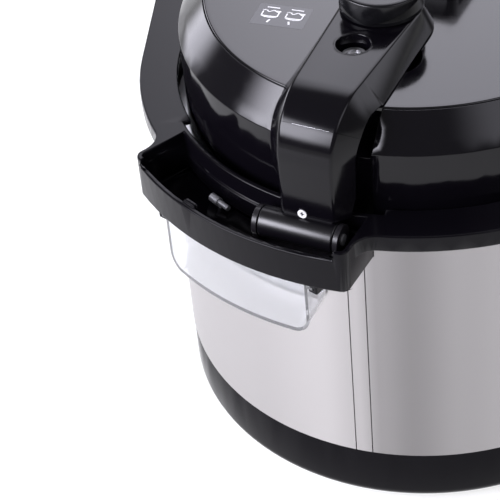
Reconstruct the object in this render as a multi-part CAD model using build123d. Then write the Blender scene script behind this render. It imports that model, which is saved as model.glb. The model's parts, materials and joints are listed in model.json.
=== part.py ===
"""Electric pressure cooker, about 6 litres, with a hinged lid that also turns to lock.

Millimetres, +Z up. The origin is on the cooker's axis at the foot plane, the control
panel faces -Y and the lid's hinge is at the back, +Y. Angles are in degrees from +X.
Each function makes one separate piece of the real object, written to parts/NODE.step.
"""
from build123d import *
from math import atan2, cos, degrees, radians, sin, sqrt
import os

# ---- driving dimensions ---------------------------------------------------------------
BODY_R = 140.0            # outside of the steel wrap
SHEET = 0.6               # thickness of the wrap
FOOT_H = 3.0              # rubber feet
BASE_TOP = 39.5           # where the steel starts
BASE_ROUND = 8.0          # rounding of the base's lower edge
RING_R = 152.8            # outside of the top ring
RING_IN = 136.0           # opening of the top ring
RING_TOP = 208.5
LIP_IN = 131.8            # narrower opening of the lip at its top, except beside the trough
LIP_END = 29.0            # where the lip ends, in degrees from the trough's middle
RING_BOTTOM = 198.8
WALL = 3.0                # moulded walls of ring and trough

GRIP_X = 163.0            # outer face of the two side grips
GRIP_TANGENT = 35.0       # where the ring's circle leaves for the grip

TROUGH_R = 168.7          # outside of its outer wall
TROUGH_TOP = 203.5
TROUGH_BOTTOM = 183.5
TROUGH_FLOOR = 184.9
TROUGH_IN = (63.4, 126.0)     # end wall's outer face: half width and y at the steel
TROUGH_OUT = (69.0, 153.6)    # the same at the outer wall
TROUGH_ROUND = 5.0        # rounding of its two outer corners
POST_TOP = 205.8          # top of the trough's end walls
DRAIN_R = 1.4             # hole in the trough's floor over the cup
DRAIN_AT = (142.8, 102.0)     # its radius and angle
POST_X = 62.5             # the outer wall is lower between the corner posts
RAIL_X = 50.4             # hooks under the trough that carry the cup, half distance
RAIL_Y = (146.0, 158.0)
STOP_PIN_ANGLE = 79.9     # stepped pin on the trough floor
STOP_PIN_R = 2.3
STOP_PIN_TIP = 2.85       # degrees from the pin's middle to its tip
SEAM = (110.9, 114.7)     # angles of the two edges of the strip over the wrap's joint

ARM_ANGLE = 104.7         # where the lid's arm stands at rest
HINGE_R = 148.5           # hinge axis: distance from the cooker's axis
HINGE_Z = 201.0
TURN = 26.0               # degrees that lid and hinge turn to lock
BARREL_R = 8.0
BARREL = (-24.8, 15.4)    # the barrel's two ends along the hinge axis
CHEEK = 2.8               # thickness of the slide's cheeks beside the barrel
PIN_R = 3.0
FIT = 0.06                # running clearance of the pin, on radius
GAP = 0.3                 # clearance between pieces that move past each other

DISC_R = 113.4            # lid: top panel
DISC_Z = 256.5
SKIRT_R = 128.4           # lid: skirt
BEVEL_Z = 238.8           # where the bevel meets the skirt
SKIRT_BOTTOM = 191.0
SLOT_HALF = 25.2          # half width of the slot that the arm passes through

DOME = 1.6                # rise of the top panel at its centre
LID_PROFILE = [(0, 231.5), (70, 230.5), (103, 229.4), (106.6, 226.0), (108, 212.2)]

SHOULDER = (118.8, 241.0, 30.0)     # arm's bend: centre along and up, and radius
FACE = 148.8              # outer face of the arm's upright
DEPTH = 13.0              # from the outer face to the edge of the sides
SHELL = 2.4               # wall of the two hollow mouldings of the arm
PART_LINE = 1.55          # station of the joint between arm cover and hinge arm
TOP_STATIONS = [0, 0.5, 0.85, 1.0, 1.15, 1.3, 1.42, PART_LINE]
UP_STATIONS = [PART_LINE, 1.7, 1.85, 2.0, 2.4, 2.6, 3.0]
ARM_SCREW_AT = (-2.5, 211.8)        # across, up
POSTS = (35.4, 66.5, 99.6)          # posts under the arm's strap, along
KNOB_AT = 48.3            # steam knob's distance from the lid's axis, along the arm
KNOB_R = 22.3
KNOB_Z = 272.0
KNOB_TOP = 284.5
HUB_R = 27.5              # round end of the arm under the knob, at the lid
ARM_TOP = 271.0
FLOAT_AT = 85.0           # float valve's distance from the lid's axis, along the arm
SIDE_HOLE = (71.0, 13.5, 16.0)    # opening beside the arm: along, across, radius
HANDLE = (-94.0, -2.0)    # ends of the lid handle, on the arm's line
HANDLE_HALF = 17.0
HANDLE_TOP = 298.0
HANDLE_SCREWS = [(x, y) for x in (HANDLE[0] + 8, HANDLE[1] - 8) for y in (-8, 8)]

POT_R = 113.0             # outside of the inner pot
POT_BOTTOM = 54.8
POT_RIM_Z = 203.0
CHAMBER_R = 118.0         # outside of the heating chamber
LUGS = 8
CHAMBER_LUG = 20.0        # degrees covered by each lug of the chamber and of the lid
LID_LUG = 19.0
LUG_OFFSET = 22.5         # the chamber's lugs stand between the lid's at rest
CHAMBER_FLANGE_Z = 184.0
PANEL_HALF = 30.0         # control fascia: half angle, bottom and top
PANEL_Z = (62.0, 182.0)
BUTTON_Z = 92.0
BUTTON_STEP = 11.0        # degrees between buttons
BUTTONS = 4
BUTTON_R = 8.0
BOARD_Y = -124.6          # back of the control board

CUP_HALF = 16.5           # condensation cup: half angle
CUP_R = 165.5
CUP_BOTTOM = 147.5
CUP_WALL = 1.6
CUP_ROUND = 9.0           # rounding of its two lower ends

COVER_R = 104.0           # plate that closes the base, and the bosses it is screwed to
BOSS_R = 99.0
BOSS_ANGLES = [45, 135, 225, 315]
INLET_ANGLE = 172.0       # power inlet in the side of the base
INLET_Z = 24.0

# ---- helpers --------------------------------------------------------------------------
def polar(r, a, z=0.0):
    """A point at radius r, angle a in degrees and height z."""
    return (r * cos(radians(a)), r * sin(radians(a)), z)


def turned(points):
    """The solid of revolution about Z of a closed (radius, height) outline."""
    outline = Polyline([(r, 0, z) for r, z in points], close=True)
    return revolve(make_face(outline), Axis.Z)


def tube(r_out, r_in, z0, z1):
    return turned([(r_in, z0), (r_out, z0), (r_out, z1), (r_in, z1)])


def rod(r, z0, z1, x=0.0, y=0.0):
    return Pos(x, y, (z0 + z1) / 2) * Cylinder(r, z1 - z0)


def block(x0, x1, y0, y1, z0, z1):
    centre = Pos((x0 + x1) / 2, (y0 + y1) / 2, (z0 + z1) / 2)
    return centre * Box(x1 - x0, y1 - y0, z1 - z0)


def sector(r_in, r_out, a0, a1, z0, z1):
    """A ring segment between two radii, two angles and two heights."""
    mid = (a0 + a1) / 2
    outer = ThreePointArc(polar(r_out, a0), polar(r_out, mid), polar(r_out, a1))
    inner = ThreePointArc(polar(r_in, a1), polar(r_in, mid), polar(r_in, a0))
    face = make_face([outer, Line(outer @ 1, inner @ 0), inner, Line(inner @ 1, outer @ 0)])
    return extrude(Pos(0, 0, z0) * face, z1 - z0, dir=(0, 0, 1))


def lug_ring(r_in, r_out, width, z0, z1, start):
    """Equal lugs around the axis, the first one centred on the angle start."""
    step = 360.0 / LUGS
    return [sector(r_in, r_out, start + i * step - width / 2, start + i * step + width / 2, z0, z1)
            for i in range(LUGS)]


def screw(r_head, h_head, r_shank, length):
    """A round-head screw along Z with its head's underside at 0 and its shank below."""
    drive = Pos(0, 0, h_head - 0.6) * Box(r_head, 0.9, 1.4)
    drive += Pos(0, 0, h_head - 0.6) * Box(0.9, r_head, 1.4)
    return rod(r_head, 0, h_head) + rod(r_shank, -length, 0.2) - drive


def on_arm(shape):
    """Turns a piece from the arm's own frame (x along, y across) to where the arm stands."""
    return Rot(0, 0, ARM_ANGLE) * shape


PARTS = {}


def add(name, *solids):
    """Keeps a node: one solid, or several equal or joined ones as a group."""
    PARTS[name] = solids[0] if len(solids) == 1 else Compound(children=list(solids))


# ---- housing --------------------------------------------------------------------------
def base_shell():
    """Moulded lower housing with a rounded lower edge and an opening for the cover."""
    outer = BODY_R - 0.4
    z0 = FOOT_H
    arc_mid = BASE_ROUND * (1 - cos(radians(45)))
    edge = ThreePointArc((outer - BASE_ROUND, 0, z0), (outer - arc_mid, 0, z0 + arc_mid),
                         (outer, 0, z0 + BASE_ROUND))
    rest = Polyline([(outer, 0, z0 + BASE_ROUND), (outer, 0, BASE_TOP), (outer - 1.4, 0, BASE_TOP),
                     (outer - 1.4, 0, BASE_TOP + 4.5), (outer - WALL, 0, BASE_TOP + 4.5),
                     (outer - WALL, 0, z0 + BASE_ROUND), (outer - BASE_ROUND, 0, z0 + WALL),
                     (COVER_R - 10, 0, z0 + WALL), (COVER_R - 10, 0, z0 + 2.4), (COVER_R, 0, z0 + 2.4),
                     (COVER_R, 0, z0), (outer - BASE_ROUND, 0, z0)])
    shell = revolve(make_face([edge, rest]), Axis.Z)
    for a in BOSS_ANGLES:
        x, y, _ = polar(BOSS_R, a)
        shell = shell + rod(4.5, z0 + 2.4, 26, x, y) - rod(1.52, 0, 30, x, y)
    opening = Rot(0, 0, INLET_ANGLE) * block(BODY_R - 12, BODY_R + 5, -14.2, 14.2,
                                             INLET_Z - 10.2, INLET_Z + 10.2)
    flange = Rot(0, 0, INLET_ANGLE) * block(BODY_R - 1.7, BODY_R + 5, -16.7, 16.7,
                                            INLET_Z - 12.7, INLET_Z + 12.7)
    return shell - opening - flange


def bottom_cover():
    """Plate that closes the base, with vent slots in four fields."""
    z0 = FOOT_H
    plate = rod(COVER_R - 0.3, z0, z0 + 2.2)
    slot = block(-16, 16, -1.6, 1.6, z0 - 1, z0 + 4)
    for a in range(0, 360, 90):
        for row in range(5):
            plate -= Rot(0, 0, a) * Pos(38 + 9 * row, 0, 0) * Rot(0, 0, 90) * slot
    for a in BOSS_ANGLES:
        x, y, _ = polar(BOSS_R, a)
        plate -= rod(2.2, z0 - 1, z0 + 4, x, y)
    return plate


def feet():
    pads = []
    for a in BOSS_ANGLES:
        x, y, _ = polar(118, a)
        pads.append(rod(9, 0, FOOT_H, x, y))
    return pads


def cover_screws():
    places = [polar(BOSS_R, a) for a in BOSS_ANGLES]
    return [Pos(x, y, FOOT_H) * Rot(180, 0, 0) * screw(3.6, 1.6, 1.5, 12) for x, y, _ in places]


def panel_opening():
    half = PANEL_HALF - 4
    return sector(BODY_R - 8, BODY_R + 2, -90 - half, -90 + half, PANEL_Z[0] + 5, PANEL_Z[1] - 5)


def trough_outline(offset=0.0):
    """Plan of the trough: slanted ends and an outer arc, moved inwards by offset."""
    x_in, y_in = TROUGH_IN
    x_out, y_out = TROUGH_OUT
    slant = (x_out - x_in) / (y_out - y_in)
    r = TROUGH_R - offset

    def end_x(y):
        return x_in - offset + slant * (y - y_in)

    y = y_out
    for _ in range(20):
        y = sqrt(r * r - end_x(y) ** 2)
    y0 = 120.0
    corner = (end_x(y), y)
    foot = (end_x(y0), y0)
    arc = ThreePointArc(corner, (0, r), (-corner[0], corner[1]))
    sides = Polyline([(-corner[0], corner[1]), (-foot[0], foot[1]), foot, corner])
    face = make_face([arc, sides])
    return fillet([v for v in face.vertices() if v.Y > y0 + 10], max(TROUGH_ROUND - offset, 1.0))


def trough_block(offset, z0, z1):
    return extrude(Pos(0, 0, z0) * trough_outline(offset), z1 - z0, dir=(0, 0, 1))


def wrap_sheet(a0, a1):
    """A stretch of the steel sheet, less a hair at each end, up to the ring or the trough."""
    sheet = sector(BODY_R - SHEET, BODY_R, a0 + 0.12, a1 - 0.12, BASE_TOP, RING_BOTTOM)
    return sheet - trough_block(-0.05, TROUGH_BOTTOM, RING_TOP)


def steel_wrap():
    """One sheet bent round the whole body, cut for the panel and the trough."""
    return wrap_sheet(SEAM[1], SEAM[0] + 360) - panel_opening()


def lap_strip():
    """Narrow steel strip that covers the joint between the sheet's two ends."""
    return wrap_sheet(*SEAM)


def seam_backing():
    """Moulded strip behind the joint that holds the strip and the sheet's ends."""
    r = BODY_R - SHEET
    return sector(r - 2, r, SEAM[0] - 2, SEAM[1] + 2, BASE_TOP + 5, TROUGH_BOTTOM - 0.1)


def grip_outline(side):
    """Plan of one side grip: tangents to the ring that run out to a flat end."""
    c = cos(radians(GRIP_TANGENT))
    s = sin(radians(GRIP_TANGENT))
    y_end = (RING_R - GRIP_X * c) / s
    pts = [(0, 0), (RING_R * c, -RING_R * s), (GRIP_X, -y_end), (GRIP_X, y_end),
           (RING_R * c, RING_R * s)]
    face = make_face(Polyline([(side * x, y) for x, y in pts], close=True))
    ends = [v for v in face.vertices() if abs(v.X) > GRIP_X - 0.1]
    return fillet(ends, 22)


def ring_plan():
    """The ring's whole outline, with the corners beside the trough rounded off."""
    plan = Circle(RING_R) + grip_outline(1) + grip_outline(-1) + trough_outline()
    corners = [v for v in plan.vertices() if 130 < v.Y < 143 and 60 < abs(v.X) < 75]
    return fillet(corners, 12)


def top_ring():
    """Moulded ring with two grips and, at the back, the open trough for the hinge."""
    ring = extrude(Pos(0, 0, RING_BOTTOM) * ring_plan(), RING_TOP - RING_BOTTOM, dir=(0, 0, 1))
    for side in (1, -1):
        lip = extrude(Pos(0, 0, RING_BOTTOM - 8) * grip_outline(side), 8, dir=(0, 0, 1))
        lip -= rod(400, 0, 400, side * (GRIP_X - 403.5), 0)
        ring += lip & block(side * GRIP_X - 30, side * GRIP_X + 30, -40, 40, 0, 400)
        ring -= sector(143, 158, 90 - 90 * side - 11, 90 - 90 * side + 11, 190, RING_TOP - 4)
    ring += trough_block(0, TROUGH_BOTTOM, RING_BOTTOM + 1) - rod(BODY_R - 1, 0, 300)
    ring += tube(RING_IN + WALL, RING_IN, CHAMBER_FLANGE_Z + 1.5, RING_TOP)
    ring -= rod(RING_IN, 0, 400)
    ring += sector(LIP_IN, RING_IN + 1, 90 + LIP_END, 450 - LIP_END, RING_TOP - WALL, RING_TOP)
    pocket = trough_block(WALL, TROUGH_FLOOR, RING_TOP + 5) - rod(RING_IN + WALL, 0, 400)
    ring -= pocket
    ring += sector(RING_IN + WALL - 0.5, BODY_R + 4, 64, 116, TROUGH_BOTTOM, TROUGH_FLOOR)
    ring -= block(-POST_X, POST_X, 145, 175, TROUGH_TOP, RING_TOP + 5)
    ring -= block(-80, 80, 156.5, 175, POST_TOP, RING_TOP + 5)
    rail_z = 195.5
    ring += sector(RING_IN + WALL - 0.5, RING_IN + WALL + 1.2, 66.5, 113.5, rail_z, rail_z + 2.5)
    for side in (1, -1):
        hook = block(RAIL_X, RAIL_X + 2.4, *RAIL_Y, 176.6, TROUGH_BOTTOM + 0.5)
        hook += block(RAIL_X - 3, RAIL_X + 2.4, *RAIL_Y, 176.6, 178.4)
        ring += hook if side > 0 else mirror(hook, Plane.YZ)
    ring -= sector(150, 158, 86, 94, 180, 190)
    ring -= rod(DRAIN_R, TROUGH_BOTTOM - 1, TROUGH_FLOOR + 1, *polar(*DRAIN_AT)[:2])
    tab = sector(TROUGH_R - WALL - 2.2, TROUGH_R - WALL + 0.5, 81, 83.6, TROUGH_TOP - 7, TROUGH_TOP + 1.6)
    return ring + tab


def stop_pin():
    """Stepped pin lying on the trough floor that the slide's toe meets when locked."""
    head = Pos(0, 3.5, 0) * Rot(90, 0, 0) * Cylinder(STOP_PIN_R, 6.0)
    stub = Pos(0, -3.0, 0) * Rot(90, 0, 0) * Cylinder(1.5, 8.0)
    rest = block(-1.2, 1.2, -2, 6, -STOP_PIN_R, -1.0)
    place = Pos(*polar(142.2, STOP_PIN_ANGLE, TROUGH_FLOOR + STOP_PIN_R))
    return place * Rot(0, 0, STOP_PIN_ANGLE + 180) * (head + stub + rest)


# ---- hot parts and electrics ----------------------------------------------------------
def heating_chamber():
    """Steel chamber with an open floor, a mounting flange and eight locking lugs."""
    wall = turned([(88, 44), (CHAMBER_R, 44), (CHAMBER_R, 201), (CHAMBER_R - 1.5, 201),
                   (CHAMBER_R - 1.5, 45.2), (88, 45.2)])
    wall += tube(134.8, CHAMBER_R - 0.5, CHAMBER_FLANGE_Z, CHAMBER_FLANGE_Z + 1.5)
    for lug in lug_ring(CHAMBER_R - 0.5, 123.0, CHAMBER_LUG, 198.5, 201, ARM_ANGLE + LUG_OFFSET):
        wall += lug
    return wall


def inner_pot():
    """Aluminium pot, rounded at the bottom, whose rim rests on the chamber."""
    t = 2.0
    r = POT_R
    z = POT_BOTTOM
    outer_arc = ThreePointArc((r - 12, 0, z), (r - 12 + 12 * sin(radians(45)), 0,
                              z + 12 - 12 * cos(radians(45))), (r, 0, z + 12))
    inner_arc = ThreePointArc((r - t, 0, z + 12), (r - 12 + 10 * sin(radians(45)), 0,
                              z + 12 - 10 * cos(radians(45))), (r - 12, 0, z + t))
    up = Polyline([(r, 0, z + 12), (r, 0, 201), (118.5, 0, 201), (118.5, 0, POT_RIM_Z),
                   (r - t, 0, POT_RIM_Z), (r - t, 0, z + 12)])
    floor = Polyline([(r - 12, 0, z + t), (0, 0, z + t), (0, 0, z), (r - 12, 0, z)])
    return revolve(make_face([outer_arc, up, inner_arc, floor]), Axis.Z)


def heating_plate():
    plate = tube(96, 20, 45.2, 54.2)
    element = Pos(0, 0, 43.5) * Torus(72, 3.2)
    return plate + element


def sensor_parts():
    """Sprung bottom sensor: a cap on a stem, and the coil spring round the stem."""
    cap = rod(16.5, 50.0, 54.5) + rod(15.5, 44.0, 50.0) + rod(3.0, 30.0, 45.0)
    path = Helix(pitch=2.4, height=9.6, radius=6.0, center=(0, 0, 33.6))
    wire = sweep(Plane(path @ 0, z_dir=path % 0) * Circle(0.5), path=path)
    return cap, wire


def sensor_bracket():
    """Strap under the heating plate that guides the sensor's stem."""
    strap = block(-84, 84, -9, 9, 31.2, 32.6) - rod(3.3, 30, 34)
    for side in (1, -1):
        strap += block(side * 84 - 0.7 * side - 1.0, side * 84 - 0.7 * side + 1.0, -9, 9, 31.2, 43.4)
        strap += block(min(side * 82.4, side * 94), max(side * 82.4, side * 94), -9, 9, 42.6, 44.0)
    return strap


def thermal_fuse():
    body = Pos(0, 60, 40.9) * Rot(0, 90, 0) * Cylinder(2.4, 22)
    clip = block(-4, 4, 57.4, 62.6, 42.4, 45.2) - Pos(0, 60, 40.9) * Rot(0, 90, 0) * Cylinder(2.3, 24)
    return body + clip


def pressure_switch():
    case = block(-12, 12, -88, -74, 30, 40.6)
    plunger = rod(1.5, 40, 44, 0, -81)
    return case + plunger + block(-14, 14, -83, -79, 30, 31.4)


def heat_shield():
    return tube(122.0, 121.4, 52, 180)


def power_board():
    board = block(-48, 48, -34, 34, 12, 13.6)
    relay = block(-40, -20, -26, -10, 13.6, 29)
    transformer = block(-8, 20, -28, -4, 13.6, 30)
    cap_a = rod(5, 13.6, 27, 34, -18)
    cap_b = rod(5, 13.6, 27, 34, -2)
    terminal = block(-40, 10, 20, 30, 13.6, 21)
    posts = [rod(2.6, FOOT_H + 2.2, 12, x, y) for x in (-43, 43) for y in (-29, 29)]
    return [board, relay, transformer, cap_a, cap_b, terminal, *posts]


def control_board():
    board = block(-40, 40, BOARD_Y, BOARD_Y + 1.6, 74, 170)
    parts = [board, block(-28, 28, BOARD_Y - 6, BOARD_Y, 128, 156)]
    for a in button_angles():
        x, _, _ = polar(130.4, a)
        reach = (BODY_R - 9.2) * cos(radians(a + 90))
        parts.append(block(x - 3, x + 3, -reach, BOARD_Y, BUTTON_Z - 3, BUTTON_Z + 3))
    return parts


def button_angles():
    return [-90 + (i - (BUTTONS - 1) / 2) * BUTTON_STEP for i in range(BUTTONS)]


def at_panel(shape, angle, z):
    """Turns a piece made along Z so that it points outwards from the panel."""
    return Pos(0, 0, z) * Rot(0, 0, angle) * Rot(0, 90, 0) * shape


def control_fascia():
    """Curved moulded panel over the opening in the wrap, with a window and holes."""
    z0, z1 = PANEL_Z
    a0, a1 = -90 - PANEL_HALF, -90 + PANEL_HALF
    panel = sector(BODY_R + 0.05, BODY_R + 2.65, a0, a1, z0, z1)
    panel = fillet([e for e in panel.edges().filter_by(GeomType.LINE)
                    if abs(e.length - 2.6) < 0.01], 9)
    half = PANEL_HALF - 4.4
    panel += sector(BODY_R - 3.4, BODY_R + 0.5, -90 - half, -90 + half, z0 + 5.4, z1 - 5.4) \
        - sector(BODY_R - 5, BODY_R + 0.4, -90 - half + 1.2, -90 + half - 1.2, z0 + 8, z1 - 8)
    panel -= sector(BODY_R - 5, BODY_R + 5, -90 - 15, -90 + 15, 122, 160)
    for a in button_angles():
        panel -= at_panel(Pos(0, 0, BODY_R) * Cylinder(BUTTON_R + GAP, 16), a, BUTTON_Z)
    return panel


def display_lens():
    return sector(BODY_R + 0.2, BODY_R + 2.0, -90 - 14.9, -90 + 14.9, 122.3, 159.7)


def button(angle):
    cap = Pos(0, 0, BODY_R + 0.4) * Cylinder(BUTTON_R, 7.2)
    flange = Pos(0, 0, BODY_R - 3.7) * Cylinder(BUTTON_R + 1.2, 1.0)
    stem = Pos(0, 0, BODY_R - 5.4) * Cylinder(1.8, 3.0)
    return at_panel(cap + flange + stem, angle, BUTTON_Z)


def power_inlet():
    """Appliance inlet with three flat pins, set in the side of the base."""
    case = block(BODY_R - 24, BODY_R - 0.8, -14, 14, INLET_Z - 10, INLET_Z + 10)
    case += block(BODY_R - 1.6, BODY_R + 0.6, -16.5, 16.5, INLET_Z - 12.5, INLET_Z + 12.5)
    case -= block(BODY_R - 20, BODY_R + 2, -12, 12, INLET_Z - 8, INLET_Z + 8)
    for y, z in ((-7, -2), (7, -2), (0, 3)):
        case += block(BODY_R - 21, BODY_R - 5, y - 1, y + 1, INLET_Z + z - 2, INLET_Z + z + 2)
    return Rot(0, 0, INLET_ANGLE) * case


def round_ends(solid, z, radius):
    """Rounds the two straight lower end edges of a cup-shaped sector."""
    ends = [e for e in solid.edges() if e.center().Z < z + 0.1 and e.length < 40]
    return fillet(ends, radius)


def condensation_cup():
    """Clear cup hung under the trough, open at the top, with two side flanges."""
    a0, a1 = 90 - CUP_HALF, 90 + CUP_HALF
    z1 = TROUGH_BOTTOM - 0.4
    r_in = BODY_R + 0.6
    cup = round_ends(sector(r_in, CUP_R, a0, a1, CUP_BOTTOM, z1), CUP_BOTTOM, CUP_ROUND)
    cup += block(-RAIL_X + GAP, RAIL_X - GAP, 144.5, 158.5, 178.8, 180.6)
    t = degrees(CUP_WALL / ((CUP_R + r_in) / 2))
    floor_z = CUP_BOTTOM + CUP_WALL
    inner = sector(r_in + CUP_WALL, CUP_R - CUP_WALL, a0 + t, a1 - t, floor_z, z1 + 1)
    return cup - round_ends(inner, floor_z, CUP_ROUND - CUP_WALL)


# ---- hinge ----------------------------------------------------------------------------
def across_rod(r, y0, y1, x=HINGE_R, z=HINGE_Z):
    """A cylinder along the hinge axis, in the arm's frame."""
    return Pos(x, (y0 + y1) / 2, z) * Rot(90, 0, 0) * Cylinder(r, y1 - y0)


def hinge_slide():
    """Shoe that runs along the trough, with two cheeks that hold the hinge pin."""
    left = BARREL[0] - GAP
    right = BARREL[1] + GAP
    a_left = degrees(atan2(left - CHEEK, HINGE_R))
    a_right = degrees(atan2(right + CHEEK, HINGE_R))
    shoe = sector(145.4, 157.5, a_left + 0.3, a_right - 0.3, TROUGH_FLOOR + 0.4, 190.8)
    for y0, y1 in ((left - CHEEK, left), (right, right + CHEEK)):
        cheek = across_rod(BARREL_R - 0.2, y0, y1)
        cheek += block(HINGE_R - 2.8, HINGE_R + 6.5, y0, y1, 188, HINGE_Z)
        shoe += cheek
    toe_at = STOP_PIN_ANGLE + STOP_PIN_TIP + TURN - ARM_ANGLE + 0.15
    shoe += sector(140.6, 146.0, toe_at, a_right - 0.3, TROUGH_FLOOR + 0.4, 189.6)
    shoe -= across_rod(PIN_R + 0.02, left - CHEEK - 1, right + CHEEK + 1)
    return shoe


def hinge_pin():
    ends = BARREL[0] - GAP - CHEEK - 0.6, BARREL[1] + GAP + CHEEK + 0.6
    return across_rod(PIN_R, *ends)


# ---- arm ------------------------------------------------------------------------------
def arm_station(s):
    """A cross-section of the arm at s: 0..1 along the top, 1..2 round the bend, 2..3 down.

    Returns the outer face's point, the inward direction, and the two half widths.
    """
    cx, cz, r = SHOULDER
    if s <= 1:
        x = KNOB_AT + (cx - KNOB_AT) * s
        point, inward = (x, cz + r), (0, -1)
        wide = 26.0 if s < 0.85 else 26.0 - 2.0 * (s - 0.85) / 0.15
    elif s <= 2:
        t = radians(90 * (2 - s))
        point, inward = (cx + r * cos(t), cz + r * sin(t)), (-cos(t), -sin(t))
        wide = 24.0 - 2.0 * (s - 1)
    else:
        z = cz - (cz - HINGE_Z - 4) * (s - 2)
        point, inward = (FACE, z), (-1, 0)
        wide = 22.0 if s < 2.4 else 22.0 - 3.0 * min(1, (s - 2.4) / 0.2)
    narrow = 20.0 - 6.0 * min(1.0, (point[0] - KNOB_AT) / (FACE - KNOB_AT))
    return point, inward, narrow, wide


def arm_section(s, inset=0.0, depth=DEPTH):
    """The arm's trapezoid at station s, smaller by inset all round."""
    (x, z), (ix, iz), narrow, wide = arm_station(s)
    lean = (wide - narrow) / DEPTH
    top, low = inset, depth
    corners = []
    for d, sign in ((top, -1), (low, -1), (low, 1), (top, 1)):
        y = sign * (narrow + lean * d - inset)
        corners.append((x + ix * d, y, z + iz * d))
    return make_face(Polyline(corners, close=True))


def arm_loft(stations, inset=0.0, depth=DEPTH):
    return loft([arm_section(s, inset, depth) for s in stations], ruled=True)


def arm_cover():
    """Upper shell of the arm with its round end, hollow below."""
    cover = arm_loft(TOP_STATIONS)
    hub = Pos(KNOB_AT, 0, ARM_TOP) * loft([Pos(0, 0, -14.2) * Circle(HUB_R), Circle(20.0)], ruled=True)
    cover += hub
    cover -= arm_loft(TOP_STATIONS, SHELL, DEPTH + 4)
    cover -= Pos(KNOB_AT, 0, ARM_TOP - SHELL) * loft(
        [Pos(0, 0, -14.2) * Circle(HUB_R - SHELL), Circle(20.0 - SHELL)], ruled=True)
    cover -= rod(8.6, 260, 280, KNOB_AT)
    well = rod(8.5 + 1.6, DISC_Z + 4, ARM_TOP, FLOAT_AT)
    cover = cover + well - rod(8.5, 250, 280, FLOAT_AT)
    return cover - dome_solid(200) - block(0, 200, -60, 60, 0, DISC_Z + GAP) - lid_cone(0.4)


def lid_cone(gap):
    """The lid's bevel and skirt, grown by gap, for clearing pieces that pass over them."""
    return turned([(0, 0), (SKIRT_R + gap, 0), (SKIRT_R + gap, BEVEL_Z), (DISC_R + gap, DISC_Z),
                   (0, DISC_Z)])


def hinge_arm():
    """Upright of the arm with the hinge barrel moulded on."""
    arm = arm_loft(UP_STATIONS)
    arm -= arm_loft(UP_STATIONS, SHELL, DEPTH + 4)
    neck = block(FACE - 8.3, FACE, -14, 14, HINGE_Z, 217.5)
    arm += neck + across_rod(BARREL_R, *BARREL)
    arm -= block(100, FACE - 8.3, -60, 60, 0, 212.0)
    arm -= block(100, FACE + 1, 14.2, 60, 0, HINGE_Z + BARREL_R + 0.6)
    arm -= across_rod(PIN_R + FIT, BARREL[0] - 1, BARREL[1] + 1)
    arm -= across_rod(BARREL_R - 2.2, BARREL[0] - 1, BARREL[0] + 0.8)
    arm -= Pos(FACE, *ARM_SCREW_AT) * Rot(0, 90, 0) * Cylinder(1.6, 20)
    return arm


def arm_screw():
    """Bright screw in the arm's upright that fixes it to the strap."""
    return Pos(FACE, *ARM_SCREW_AT) * Rot(0, 90, 0) * screw(2.4, 0.5, 1.4, 5)


def hinge_bracket():
    """Steel strap inside the arm, from the lid's posts down to the hinge."""
    t, half, wide = 2.5, 9.5, 13.2
    cx, cz, r = SHOULDER
    ri = r - SHELL - 1.2
    top = block(32.6, cx, -half, half, cz + ri - t, cz + ri)
    top += block(38, 104, -wide, wide, cz + ri - t, cz + ri)
    bend = Pos(cx, 0, cz) * Rot(90, 0, 0) * (Cylinder(ri, 2 * half) - Cylinder(ri - t, 3 * half))
    bend &= block(cx, cx + 50, -half, half, cz, cz + 50)
    down = block(cx + ri - t, cx + ri, -half, half, 218.0, cz)
    strap = top + bend + down
    strap -= rod(8.9, 250, 280, KNOB_AT) + rod(10.6, 250, 280, FLOAT_AT)
    return strap


def bracket_posts():
    """Turned posts that carry the strap on the pressure lid, through the top panel."""
    cx, cz, r = SHOULDER
    top = cz + r - SHELL - 1.2 - 2.5
    return [rod(3.6, lid_height(x - 3.6) + 0.02, top, x) for x in POSTS]


# ---- lid ------------------------------------------------------------------------------
def lid_height(x):
    """Height of the pressure lid's top surface at distance x from its axis."""
    for (r0, z0), (r1, z1) in zip(LID_PROFILE, LID_PROFILE[1:]):
        if r0 <= x <= r1:
            return z0 + (z1 - z0) * (x - r0) / (r1 - r0)
    return LID_PROFILE[-1][1]


def pressure_lid():
    """Pressed steel lid with inward lugs that lock under those of the chamber."""
    outer = LID_PROFILE + [(124.2, 212.2), (125.8, 210.6), (125.8, 194.5)]
    inner = [(124.4, 194.5), (124.4, 210.6), (106.4, 210.6), (105.1, 225.2), (102.4, 227.9),
             (70, 229.0), (0, 230.0)]
    lid = turned(outer + inner)
    for lug in lug_ring(119.6, 124.6, LID_LUG, 194.5, 196.3, 0):
        lid += lug
    lid -= rod(5.2, 200, 240, KNOB_AT) + rod(3.4, 200, 240, FLOAT_AT) + rod(3.6, 200, 240)
    return lid


def dome_solid(z0):
    """Everything under the top panel's domed surface, down to z0."""
    top = ThreePointArc((0, 0, DISC_Z + DOME), (DISC_R * 0.55, 0, DISC_Z + DOME * 0.7),
                        (DISC_R, 0, DISC_Z))
    rest = Polyline([(DISC_R, 0, DISC_Z), (DISC_R, 0, z0), (0, 0, z0), (0, 0, DISC_Z + DOME)])
    return revolve(make_face([top, rest]), Axis.Z)


def lid_disc():
    """Slightly domed top panel with clearance holes."""
    disc = dome_solid(DISC_Z - 2.2) - turned([(0, 0), (DISC_R - 4, 0), (DISC_R - 4, DISC_Z - 2.2),
                                              (0, DISC_Z + DOME - 2.2)])
    along, across, r = SIDE_HOLE
    disc -= rod(r, 240, 270, along, across)
    disc -= rod(14, 240, 270, KNOB_AT) + rod(9, 240, 270, FLOAT_AT)
    for x in POSTS:
        disc -= rod(4.6, 240, 270, x)
    for x, y in HANDLE_SCREWS:
        disc -= rod(1.9, 240, 270, x, y)
    return disc


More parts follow.
